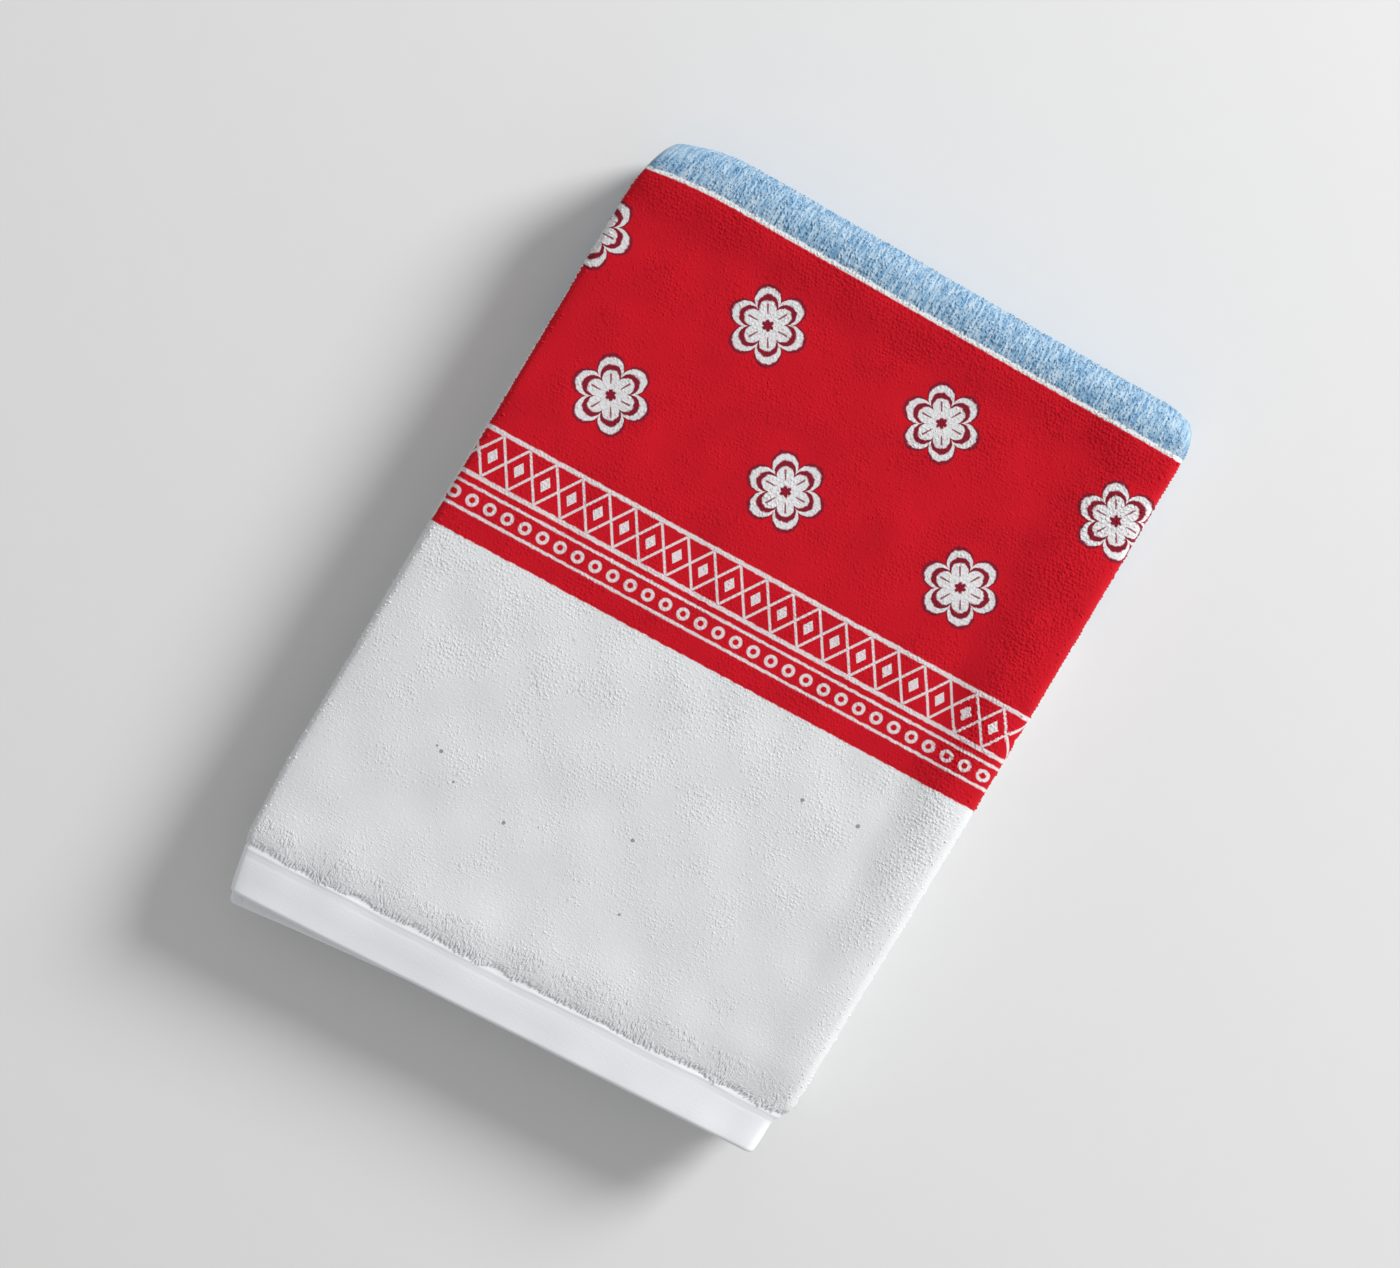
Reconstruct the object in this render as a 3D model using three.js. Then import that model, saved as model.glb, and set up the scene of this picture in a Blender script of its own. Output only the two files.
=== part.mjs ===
import * as THREE from 'three';

// A folded bath towel: one length of terry cloth, folded in three across its width, then twice along
// its length. Millimetres, +Z up. The hemmed ends lie at the front (-Y), the thick fold at the back (+Y),
// and the lowest ply lies flat on the ground at Z = 0.

// The cloth laid out flat
const clothWidth = 760;
const clothLength = 1520;
const terryThickness = 3;
const hemThickness = 2.3;
const hemDepth = 21;
const pileEdge = 7;

// The folded pack: three plies to a layer, four layers
const foldedWidth = 272.4;
const plyGap = 0.4;
const layerGap = 0.5;
const lowerFlapSetback = 7.6;
const middleFoldSetback = 6;

// The outline seen from above
const hemSlant = 0.0745;
const foldSlant = 0.02;
const leftHemInset = 5.6;
const leftLean = 2.2;
const leftLeanEnd = 70;
const rightHemInset = 4.7;
const rightStepStart = 15;
const edgeReach = 60;
const backLeftRadius = 45;
const backRightRadius = 20;
const frontRadius = 30;
const cornerSoftness = 0.65;
const lowerHemLead = 5.6;
const lowerHemMeets = 132;
const layerDrift = 0.9;
const driftLength = 115;

// The lie of the top, as heights above or below a level pack. A rim stands up along the right edge,
// wider towards the back, and a lower one along the back. The flank of a rim is its slope to the trough.
const frontDrop = 3;
const rimHeight = 4;
const rimFrontShare = 0.45;
const rimPeak = 1.45;
const flankInsetFront = 14;
const flankInsetBack = 38;
const flankWidthFront = 12;
const flankWidthBack = 20;
const backRimHeight = 1.8;
const backFlankInset = 34;
const backFlankWidth = 20;
const bankHeight = 1.2;
const bankY = 29;
const bankReach = 13;
const edgeDroop = 1.6;
const droopReach = 7;
const swell = 1;
const swellCrest = 185;
const swellLength = 250;
const lipSag = 1.6;
const lipDepth = 15;

// The middle of the finished towel in plan, which becomes the origin
const middleX = -0.12;
const middleY = 187.52;

// How finely the folds are cut
const columnCount = 13;
const rowStops = [0, 8, 16, 21.5, 28, 42, 75, 125, 185, 245, 300, 335, 352];
const leftFoldSteps = 4;
const rightFoldSteps = 5;
const outerFoldSteps = 9;
const innerFoldSteps = 5;
const middleFoldSteps = 6;
const closestStop = 4;

const plyPitch = terryThickness + plyGap;
const layerThickness = 3 * terryThickness + 2 * plyGap;
const layerPitch = layerThickness + layerGap;
const packHeight = 3 * layerPitch + layerThickness;
const hemShare = (hemThickness + plyGap * hemThickness / terryThickness) / plyPitch;

// Centre lines of the two side folds and of the folds along the length
const leftFoldRadius = plyPitch / 2;
const rightFoldRadius = plyPitch;
const leftEdge = -foldedWidth / 2;
const rightEdge = foldedWidth / 2;
const leftFoldX = leftEdge + leftFoldRadius + terryThickness / 2;
const rightFoldX = rightEdge - rightFoldRadius - terryThickness / 2;
const lowerFlapEnd = leftEdge + lowerFlapSetback;
const topPlyWidth = rightFoldX - leftFoldX;
const sideFoldLength = Math.PI * (leftFoldRadius + rightFoldRadius);
const innerFlapWidth = clothWidth - topPlyWidth - sideFoldLength - (rightFoldX - lowerFlapEnd);
const innerFlapEnd = leftFoldX + innerFlapWidth;

const outerFoldRadius = 1.5 * layerPitch;
const innerFoldRadius = 0.5 * layerPitch;
const middleFoldY = middleFoldSetback + innerFoldRadius + layerThickness / 2;
const endFoldLength = Math.PI * (outerFoldRadius + 2 * innerFoldRadius);
const endFoldY = (clothLength - endFoldLength + 2 * middleFoldY) / 4;
const backEdge = endFoldY + outerFoldRadius + layerThickness / 2;

function layerLevel(number) {
  return packHeight - layerThickness / 2 - (number - 1) * layerPitch;
}

// Across the cloth, from the free edge of the inner flap to that of the lower flap.
// A flat run has a level, and faces up (1) or down (-1) with its printed side. Turns are in degrees.
const acrossRuns = [
  { name: 'inner flap', from: innerFlapEnd, to: leftFoldX, level: 0, facing: -1 },
  { name: 'left fold', place: leftFoldX, level: leftFoldRadius, radius: leftFoldRadius,
    start: -90, end: -270, steps: leftFoldSteps },
  { name: 'top ply', from: leftFoldX, to: rightFoldX, level: plyPitch, facing: 1 },
  { name: 'right fold', place: rightFoldX, level: 0, radius: rightFoldRadius,
    start: 90, end: -90, steps: rightFoldSteps },
  { name: 'lower flap', from: rightFoldX, to: lowerFlapEnd, level: -plyPitch, facing: -1 },
];

// Along the cloth, from the upper hem to the lower hem. Layer 1 is the highest.
const backLevel = (layerLevel(1) + layerLevel(4)) / 2;
const frontLevel = (layerLevel(3) + layerLevel(4)) / 2;
const alongRuns = [
  { name: 'layer 1', from: 0, to: endFoldY, level: layerLevel(1), facing: 1 },
  { name: 'outer fold', place: endFoldY, level: backLevel, radius: outerFoldRadius,
    start: 90, end: -90, steps: outerFoldSteps },
  { name: 'layer 4', from: endFoldY, to: middleFoldY, level: layerLevel(4), facing: -1, low: true },
  { name: 'middle fold', place: middleFoldY, level: frontLevel, radius: innerFoldRadius,
    start: -90, end: -270, steps: middleFoldSteps, low: true },
  { name: 'layer 3', from: middleFoldY, to: endFoldY, level: layerLevel(3), facing: 1, low: true },
  { name: 'inner fold', place: endFoldY, level: backLevel, radius: innerFoldRadius,
    start: -90, end: 90, steps: innerFoldSteps },
  { name: 'layer 2', from: endFoldY, to: 0, level: layerLevel(2), facing: -1 },
];

function smooth(from, to, value) {
  return THREE.MathUtils.smoothstep(value, from, to);
}

// Stations of a flat run: its two ends and the shared stops between them
function flatStations(run, sharedStops) {
  const low = Math.min(run.from, run.to) + closestStop;
  const high = Math.max(run.from, run.to) - closestStop;
  const stops = sharedStops.filter((stop) => stop > low && stop < high);
  const places = [Math.min(run.from, run.to), ...stops, Math.max(run.from, run.to)];
  if (run.to < run.from) {
    places.reverse();
  }
  return places.map((place) => ({
    place,
    level: run.level,
    outPlace: 0,
    outLevel: run.facing,
    cloth: Math.abs(place - run.from),
  }));
}

// Stations of a turn. The printed side is outside on a clockwise turn and inside on the other.
function turnStations(run) {
  const sweep = THREE.MathUtils.degToRad(run.end - run.start);
  const side = sweep < 0 ? 1 : -1;
  const stations = [];
  for (let step = 0; step <= run.steps; step += 1) {
    const angle = THREE.MathUtils.degToRad(run.start) + sweep * step / run.steps;
    stations.push({
      place: run.place + run.radius * Math.cos(angle),
      level: run.level + run.radius * Math.sin(angle),
      outPlace: side * Math.cos(angle),
      outLevel: side * Math.sin(angle),
      cloth: Math.abs(sweep) * run.radius * step / run.steps,
    });
  }
  return stations;
}

function walk(runs, sharedStops) {
  const path = [];
  let done = 0;
  for (const run of runs) {
    const stations = run.radius ? turnStations(run) : flatStations(run, sharedStops);
    for (const station of stations.slice(path.length ? 1 : 0)) {
      path.push({ ...station, cloth: done + station.cloth, low: Boolean(run.low) });
    }
    done += stations.at(-1).cloth;
  }
  return path;
}

// Columns stand closer together near the two side folds
function columnStops() {
  const stops = [];
  for (let column = 1; column < columnCount; column += 1) {
    const share = (1 - Math.cos(Math.PI * column / columnCount)) / 2;
    stops.push(leftFoldX + topPlyWidth * share);
  }
  return stops;
}

// Height of the top over a level pack
function topShape(x, y) {
  const fromRight = rightEdge - x;
  const fromLeft = x - leftEdge;
  const fromBack = backEdge - y;
  const back = THREE.MathUtils.clamp(y / backEdge, 0, 1);
  const flankInset = THREE.MathUtils.lerp(flankInsetFront, flankInsetBack, back);
  const halfFlank = THREE.MathUtils.lerp(flankWidthFront, flankWidthBack, back) / 2;
  const rimShare = rimFrontShare + (1 - rimFrontShare) * Math.sin(Math.PI * back ** rimPeak);
  const rimFall = Math.max(0, 1 - fromRight / (flankInset - halfFlank)) ** 2 / 2;
  const rimFlank = 1 - smooth(flankInset - halfFlank, flankInset + halfFlank, fromRight);
  const backFlank = 1 - smooth(
    backFlankInset - backFlankWidth / 2,
    backFlankInset + backFlankWidth / 2,
    fromBack,
  );
  const bank = bankHeight * Math.exp(-(((y - bankY) / bankReach) ** 2));
  const droop = edgeDroop * (Math.exp(-fromRight / droopReach) + Math.exp(-fromLeft / droopReach));
  const swellShare = 0.6 - 0.4 * x / rightEdge;
  const swelling = swell * swellShare * Math.cos(2 * Math.PI * (y - swellCrest) / swellLength);
  const rims = rimHeight * rimShare * (1 - rimFall) * rimFlank + backRimHeight * backFlank;
  return rims + bank - droop + swelling - frontDrop * (1 - back);
}

// Draws a square corner in to a rounded one. Nothing moves outside the corner's own square.
function roundCorner(point, cornerX, cornerY, backward, radius) {
  const outward = Math.sign(cornerX);
  const a = Math.max(0, 1 - (cornerX - point.x) * outward / radius);
  const b = Math.max(0, 1 - (cornerY - point.y) * backward / radius);
  if (a > 0 && b > 0) {
    point.x = cornerX - outward * radius * (1 - a * Math.sqrt(1 - cornerSoftness * b * b / 2));
    point.y = cornerY - backward * radius * (1 - b * Math.sqrt(1 - cornerSoftness * a * a / 2));
  }
}

function narrowAtHem(point) {
  const leftInset = leftLean * (1 - smooth(hemDepth, leftLeanEnd, point.y))
    + leftHemInset * Math.max(0, 1 - point.y / (hemDepth + pileEdge));
  const rightInset = rightHemInset * (1 - smooth(rightStepStart, hemDepth + pileEdge, point.y));
  const nearLeft = 1 - smooth(0, edgeReach, point.x - leftEdge);
  const nearRight = 1 - smooth(0, edgeReach, rightEdge - point.x);
  point.x += leftInset * nearLeft - rightInset * nearRight;
}

// Where a point of the cloth lies: side 1 is the printed face, -1 the plain one
function clothPoint(across, along, side) {
  const fromHem = Math.min(along.cloth, clothLength - along.cloth);
  const pile = hemShare + (1 - hemShare) * smooth(hemDepth, hemDepth + pileEdge, fromHem);
  const half = side * terryThickness / 2;
  const lift = (across.level + half * across.outLevel) * pile;
  const sag = lipSag * (1 - smooth(0, lipDepth, along.cloth));
  const drift = layerDrift * Math.sin(along.cloth / driftLength);
  const point = new THREE.Vector3(
    across.place + half * across.outPlace + drift,
    along.place + lift * along.outPlace,
    along.level + lift * along.outLevel - (1 - pile) * layerThickness / 2 - sag,
  );
  const lowerHem = smooth(clothLength - endFoldY + outerFoldRadius, clothLength - lowerHemMeets, along.cloth);
  point.y -= lowerHemLead * (1 - (point.x - leftEdge) / lowerHemMeets) * lowerHem;
  point.z *= 1 + topShape(point.x, point.y) / packHeight;

  roundCorner(point, leftEdge, backEdge, 1, backLeftRadius);
  roundCorner(point, rightEdge, backEdge, 1, backRightRadius);
  if (along.low) {
    roundCorner(point, leftEdge, middleFoldSetback, -1, frontRadius);
    roundCorner(point, rightEdge, middleFoldSetback, -1, frontRadius);
  }
  narrowAtHem(point);
  const back = point.y / backEdge;
  point.y += point.x * (hemSlant * (1 - back) + foldSlant * back);
  point.x -= middleX;
  point.y -= middleY;
  return point;
}

function towelGeometry() {
  const across = walk(acrossRuns, columnStops());
  const along = walk(alongRuns, rowStops);
  const rowLength = across.length;
  const faceSize = rowLength * along.length;
  const positions = [];
  for (const side of [1, -1]) {
    for (const row of along) {
      for (const column of across) {
        positions.push(...clothPoint(column, row, side).toArray());
      }
    }
  }

  const triangles = [];
  const quad = (a, b, c, d, rising) => {
    triangles.push(...(rising ? [a, b, c, a, c, d] : [a, b, d, b, c, d]));
  };
  // All quads are split the same way in plan, so that plies that lie on each other stay parallel
  for (let row = 0; row + 1 < along.length; row += 1) {
    for (let column = 0; column + 1 < rowLength; column += 1) {
      const stepX = across[column + 1].place - across[column].place;
      const stepY = along[row + 1].place - along[row].place;
      const rising = stepX * stepY >= 0;
      const a = row * rowLength + column;
      const [b, c, d] = [a + 1, a + 1 + rowLength, a + rowLength];
      quad(a, b, c, d, rising);
      quad(faceSize + a, faceSize + d, faceSize + c, faceSize + b, rising);
    }
  }
  // The four edges of the cloth join its two faces
  const joinFaces = (from, to) => quad(from, faceSize + from, faceSize + to, to, true);
  const lastRow = faceSize - rowLength;
  for (let column = 0; column + 1 < rowLength; column += 1) {
    joinFaces(column, column + 1);
    joinFaces(lastRow + column + 1, lastRow + column);
  }
  for (let row = 0; row + 1 < along.length; row += 1) {
    const start = row * rowLength;
    joinFaces(start + rowLength, start);
    joinFaces(start + rowLength - 1, start + 2 * rowLength - 1);
  }

  const geometry = new THREE.BufferGeometry();
  geometry.setAttribute('position', new THREE.Float32BufferAttribute(positions, 3));
  geometry.setIndex(triangles);
  geometry.computeVertexNormals();
  return geometry;
}

const terry = new THREE.MeshStandardMaterial({ color: 0xdfe2e6, roughness: 0.95, metalness: 0 });
const towel = new THREE.Mesh(towelGeometry(), terry);
towel.name = 'towel';

const foldedTowel = new THREE.Group();
foldedTowel.add(towel);

export default foldedTowel;
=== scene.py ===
import math

import bpy
import numpy as np
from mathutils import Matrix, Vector


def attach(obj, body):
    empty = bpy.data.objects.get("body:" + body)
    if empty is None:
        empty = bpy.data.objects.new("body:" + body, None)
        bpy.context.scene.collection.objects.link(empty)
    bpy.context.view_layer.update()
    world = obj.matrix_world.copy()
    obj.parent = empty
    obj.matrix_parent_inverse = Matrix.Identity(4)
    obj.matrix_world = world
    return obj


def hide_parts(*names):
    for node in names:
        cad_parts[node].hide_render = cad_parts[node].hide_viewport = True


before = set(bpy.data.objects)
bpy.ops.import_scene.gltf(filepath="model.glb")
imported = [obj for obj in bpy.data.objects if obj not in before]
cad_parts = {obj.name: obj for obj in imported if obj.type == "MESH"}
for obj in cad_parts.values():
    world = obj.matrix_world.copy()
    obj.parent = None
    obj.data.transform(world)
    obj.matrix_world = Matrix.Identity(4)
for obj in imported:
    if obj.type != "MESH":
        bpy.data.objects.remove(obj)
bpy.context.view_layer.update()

# A folded bath towel: the cloth, its pile, the sewing of its hem, and the light that it lies in.
# Sizes are in metres. The cloth is measured from the free edge of its inner flap (across)
# and from its upper hem (along), and a height over its middle is positive on the printed face.

mm = 0.001

camera = {
    "lens": 100,                       # long, as the view is nearly flat
    "width": 618.7 * mm,               # of what it sees at the top of the towel
    "middle": (-7.3 * mm, 7.9 * mm),   # the point under it
    "turn": math.radians(31),          # the towel's length leans this much to the right
    "top": 38 * mm,
}


def addCamera():
    data = bpy.data.cameras.new("camera")
    data.lens = camera["lens"]
    body = bpy.data.objects.new("camera", data)
    bpy.context.collection.objects.link(body)
    reach = camera["width"] * data.lens / data.sensor_width
    body.location = (*camera["middle"], camera["top"] + reach)
    body.rotation_euler = (0, 0, camera["turn"])
    data.clip_start = 0.05
    data.clip_end = 20
    bpy.context.scene.camera = body
    print("camera", round(reach, 3), "m over the towel")


# The fold

cloth = {
    "width": 760 * mm,
    "length": 1520 * mm,
    "ply": 3.0 * mm,              # one ply with the loops of both faces
    "plyGap": 0.4 * mm,
    "layerGap": 0.5 * mm,
    "foldedWidth": 272.4 * mm,
    "lowerFlapSetback": 7.6 * mm,
    "middleFoldSetback": 6 * mm,
    "hemDepth": 21 * mm,
    "hemPly": 2.3 * mm,
    "pileEdge": 7 * mm,           # the pile reaches its full height over this length
    "frontEase": 45 * mm,         # and the layers under it sink over this length
}

outline = {
    "hemSlant": 0.0745,
    "foldSlant": 0.02,
    "leftHemInset": 5.6 * mm,
    "leftLean": 2.2 * mm,
    "leftLeanEnd": 70 * mm,
    "rightHemInset": 4.7 * mm,
    "rightStepStart": 15 * mm,
    "edgeReach": 60 * mm,
    "backLeftRadius": 45 * mm,
    "backRightRadius": 20 * mm,
    "frontRadius": 30 * mm,
    "cornerSoftness": 0.65,
    "lowerHemLead": 5.6 * mm,
    "lowerHemMeets": 132 * mm,
    "layerDrift": 0.9 * mm,
    "driftLength": 115 * mm,
    "middle": (-0.12 * mm, 187.52 * mm),
}

lie = {
    "frontDrop": 3 * mm,
    "rimHeight": 3.6 * mm,
    "rimFrontShare": 0.13,
    "rimStart": 60 * mm,                  # there is no rim at the hem
    "rimPeak": 1.45,
    "flankInset": (14 * mm, 38 * mm),     # at the front and at the back
    "flankWidth": (18 * mm, 26 * mm),
    "backRimHeight": 1.8 * mm,
    "backFlankInset": 34 * mm,
    "backFlankWidth": 20 * mm,
    "bankHeight": 1.4 * mm,
    "bankY": 29 * mm,
    "bankReach": 13 * mm,
    "edgeDroop": 1.6 * mm,
    "droopReach": 7 * mm,
    "swell": 1 * mm,
    "swellShare": (0.6, 0.4),             # of it in the middle, and more of it towards the left
    "swellCrest": 185 * mm,
    "swellLength": 250 * mm,
    "lipSag": 1.6 * mm,
    "lipDepth": 15 * mm,
    "rightShare": 0.15,                   # what is left of the bank and the sag at the right
    "rightFrom": 0 * mm,
    "rightTo": 110 * mm,
    "mottle": 0.24 * mm,                  # height of the small hollows of the top
    "slump": (0.8 * mm, 1.2 * mm),        # past the end of the inner flap the hem's two plies close up
    "slumpFrom": 80 * mm,
    "slumpTo": 135 * mm,
    "slumpEase": 18 * mm,
    "slumpLength": 45 * mm,               # and less so along the cloth
    "sway": 0.35 * mm,                    # the hems aren't quite level
    "swayApart": 8,                       # nor are two of them alike
    "flush": (2.2 * mm, 0.8 * mm),        # and the edges of their plies aren't quite in line
    "looseReach": (30 * mm, 120 * mm),    # both of these fade over this stretch from the hem
    "hemCorner": 5 * mm,                  # radius of the hems' corners
}

plyPitch = cloth["ply"] + cloth["plyGap"]
layerThickness = 3 * cloth["ply"] + 2 * cloth["plyGap"]
layerPitch = layerThickness + cloth["layerGap"]
packHeight = 3 * layerPitch + layerThickness
hemShare = (cloth["hemPly"] + cloth["plyGap"] * cloth["hemPly"] / cloth["ply"]) / plyPitch

leftFoldRadius = plyPitch / 2
rightFoldRadius = plyPitch
leftEdge = -cloth["foldedWidth"] / 2
rightEdge = cloth["foldedWidth"] / 2
leftFoldX = leftEdge + leftFoldRadius + cloth["ply"] / 2
rightFoldX = rightEdge - rightFoldRadius - cloth["ply"] / 2
lowerFlapEnd = leftEdge + cloth["lowerFlapSetback"]
sideFoldLength = math.pi * (leftFoldRadius + rightFoldRadius)
innerFlapWidth = cloth["width"] - (rightFoldX - leftFoldX) - sideFoldLength - (rightFoldX - lowerFlapEnd)

outerFoldRadius = 1.5 * layerPitch
innerFoldRadius = 0.5 * layerPitch
middleFoldY = cloth["middleFoldSetback"] + innerFoldRadius + layerThickness / 2
endFoldLength = math.pi * (outerFoldRadius + 2 * innerFoldRadius)
endFoldY = (cloth["length"] - endFoldLength + 2 * middleFoldY) / 4
backEdge = endFoldY + outerFoldRadius + layerThickness / 2


def layerLevel(number):
    return packHeight - layerThickness / 2 - (number - 1) * layerPitch


backLevel = (layerLevel(1) + layerLevel(4)) / 2
frontLevel = (layerLevel(3) + layerLevel(4)) / 2


def flat(name, start, end, level, facing, low=False):
    return {"name": name, "from": start, "to": end, "level": level, "facing": facing, "low": low,
            "length": abs(end - start)}


def turn(name, place, level, radius, start, end, low=False):
    sweep = math.radians(end - start)
    return {"name": name, "place": place, "level": level, "radius": radius, "start": math.radians(start),
            "sweep": sweep, "low": low, "length": abs(sweep) * radius}


def laidOut(runs):
    begins = 0
    for run in runs:
        run["begins"] = begins
        begins += run["length"]
        run["ends"] = begins
    return runs


acrossRuns = laidOut([
    flat("inner flap", leftFoldX + innerFlapWidth, leftFoldX, 0, -1),
    turn("left fold", leftFoldX, leftFoldRadius, leftFoldRadius, -90, -270),
    flat("top ply", leftFoldX, rightFoldX, plyPitch, 1),
    turn("right fold", rightFoldX, 0, rightFoldRadius, 90, -90),
    flat("lower flap", rightFoldX, lowerFlapEnd, -plyPitch, -1),
])
alongRuns = laidOut([
    flat("layer 1", 0, endFoldY, layerLevel(1), 1),
    turn("outer fold", endFoldY, backLevel, outerFoldRadius, 90, -90),
    flat("layer 4", endFoldY, middleFoldY, layerLevel(4), -1, low=True),
    turn("middle fold", middleFoldY, frontLevel, innerFoldRadius, -90, -270, low=True),
    flat("layer 3", middleFoldY, endFoldY, layerLevel(3), 1, low=True),
    turn("inner fold", endFoldY, backLevel, innerFoldRadius, -90, 90),
    flat("layer 2", endFoldY, 0, layerLevel(2), -1),
])


def runOf(runs, name):
    return next(run for run in runs if run["name"] == name)


def smooth(low, high, value):
    share = np.clip((value - low) / (high - low), 0, 1)
    return share * share * (3 - 2 * share)


def pathAt(runs, distance):
    # place, level, and the way that the printed face looks, at distances along the cloth
    place, level, outPlace, outLevel, low = (np.zeros_like(distance) for _ in range(5))
    for run in runs:
        begins = -1 if run is runs[0] else run["begins"]
        ends = np.inf if run is runs[-1] else run["ends"]
        here = (distance >= begins) & (distance < ends)
        done = distance[here] - run["begins"]
        low[here] = run["low"]
        if "radius" in run:
            angle = run["start"] + run["sweep"] * done / run["length"]
            side = 1 if run["sweep"] < 0 else -1
            place[here] = run["place"] + run["radius"] * np.cos(angle)
            level[here] = run["level"] + run["radius"] * np.sin(angle)
            outPlace[here] = side * np.cos(angle)
            outLevel[here] = side * np.sin(angle)
        else:
            place[here] = run["from"] + np.sign(run["to"] - run["from"]) * done
            level[here] = run["level"]
            outLevel[here] = run["facing"]
    return place, level, outPlace, outLevel, low


def makeWaves(seed, shortest, longest, count=14):
    chance = np.random.default_rng(seed)
    waves = []
    for _ in range(count):
        heading = chance.uniform(0, math.pi)
        waveNumber = 2 * math.pi / chance.uniform(shortest, longest)
        phase = chance.uniform(0, 6.28)
        waves.append((waveNumber * math.cos(heading), waveNumber * math.sin(heading), phase))
    return waves


def wavy(waves, x, y):
    # an even mix of waves, mostly between -1 and 1
    total = sum(np.sin(x * waveX + y * waveY + phase) for waveX, waveY, phase in waves)
    return total / math.sqrt(len(waves))


mottleWaves = makeWaves(11, 24 * mm, 75 * mm)
hemWaves = makeWaves(12, 7 * mm, 22 * mm)
weltWaves = makeWaves(14, 30 * mm, 110 * mm)
patchWaves = makeWaves(13, 12 * mm, 45 * mm)
swayWaves = makeWaves(15, 90 * mm, 260 * mm, 6)
clumpWaves = makeWaves(16, 8 * mm, 26 * mm)


def frontShare(x):
    return 1 - (1 - lie["rightShare"]) * smooth(lie["rightFrom"], lie["rightTo"], x)


def topShape(x, y):
    # height of the top over a level pack
    fromRight = rightEdge - x
    fromLeft = x - leftEdge
    fromBack = backEdge - y
    back = np.clip(y / backEdge, 0, 1)
    flankInset = lie["flankInset"][0] + (lie["flankInset"][1] - lie["flankInset"][0]) * back
    halfFlank = (lie["flankWidth"][0] + (lie["flankWidth"][1] - lie["flankWidth"][0]) * back) / 2
    rimShare = lie["rimFrontShare"] + (1 - lie["rimFrontShare"]) * np.sin(math.pi * back ** lie["rimPeak"])
    rimShare = rimShare * smooth(0, lie["rimStart"], y)
    rimFall = np.maximum(0, 1 - fromRight / (flankInset - halfFlank)) ** 2 / 2
    rimFlank = 1 - smooth(flankInset - halfFlank, flankInset + halfFlank, fromRight)
    halfBack = lie["backFlankWidth"] / 2
    backFlank = 1 - smooth(lie["backFlankInset"] - halfBack, lie["backFlankInset"] + halfBack, fromBack)
    bank = lie["bankHeight"] * np.exp(-((y - lie["bankY"]) / lie["bankReach"]) ** 2) * frontShare(x)
    droop = np.exp(-fromRight / lie["droopReach"]) + np.exp(-fromLeft / lie["droopReach"])
    swellShare = lie["swellShare"][0] - lie["swellShare"][1] * x / rightEdge
    swelling = swellShare * np.cos(2 * math.pi * (y - lie["swellCrest"]) / lie["swellLength"])
    rims = lie["rimHeight"] * rimShare * (1 - rimFall) * rimFlank + lie["backRimHeight"] * backFlank
    return (rims + bank - lie["edgeDroop"] * droop + lie["swell"] * swelling
            + lie["mottle"] * wavy(mottleWaves, x, y) - lie["frontDrop"] * (1 - back))


def roundCorner(x, y, cornerX, cornerY, backward, radius, share=1):
    outward = math.copysign(1, cornerX)
    a = np.maximum(0, 1 - (cornerX - x) * outward / radius)
    b = np.maximum(0, 1 - (cornerY - y) * backward / radius)
    inside = (a > 0) & (b > 0) & (share > 0)
    half = outline["cornerSoftness"] / 2
    roundX = cornerX - outward * radius * (1 - a * np.sqrt(np.maximum(0, 1 - half * b * b)))
    roundY = cornerY - backward * radius * (1 - b * np.sqrt(np.maximum(0, 1 - half * a * a)))
    return np.where(inside, roundX, x), np.where(inside, roundY, y)


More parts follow.
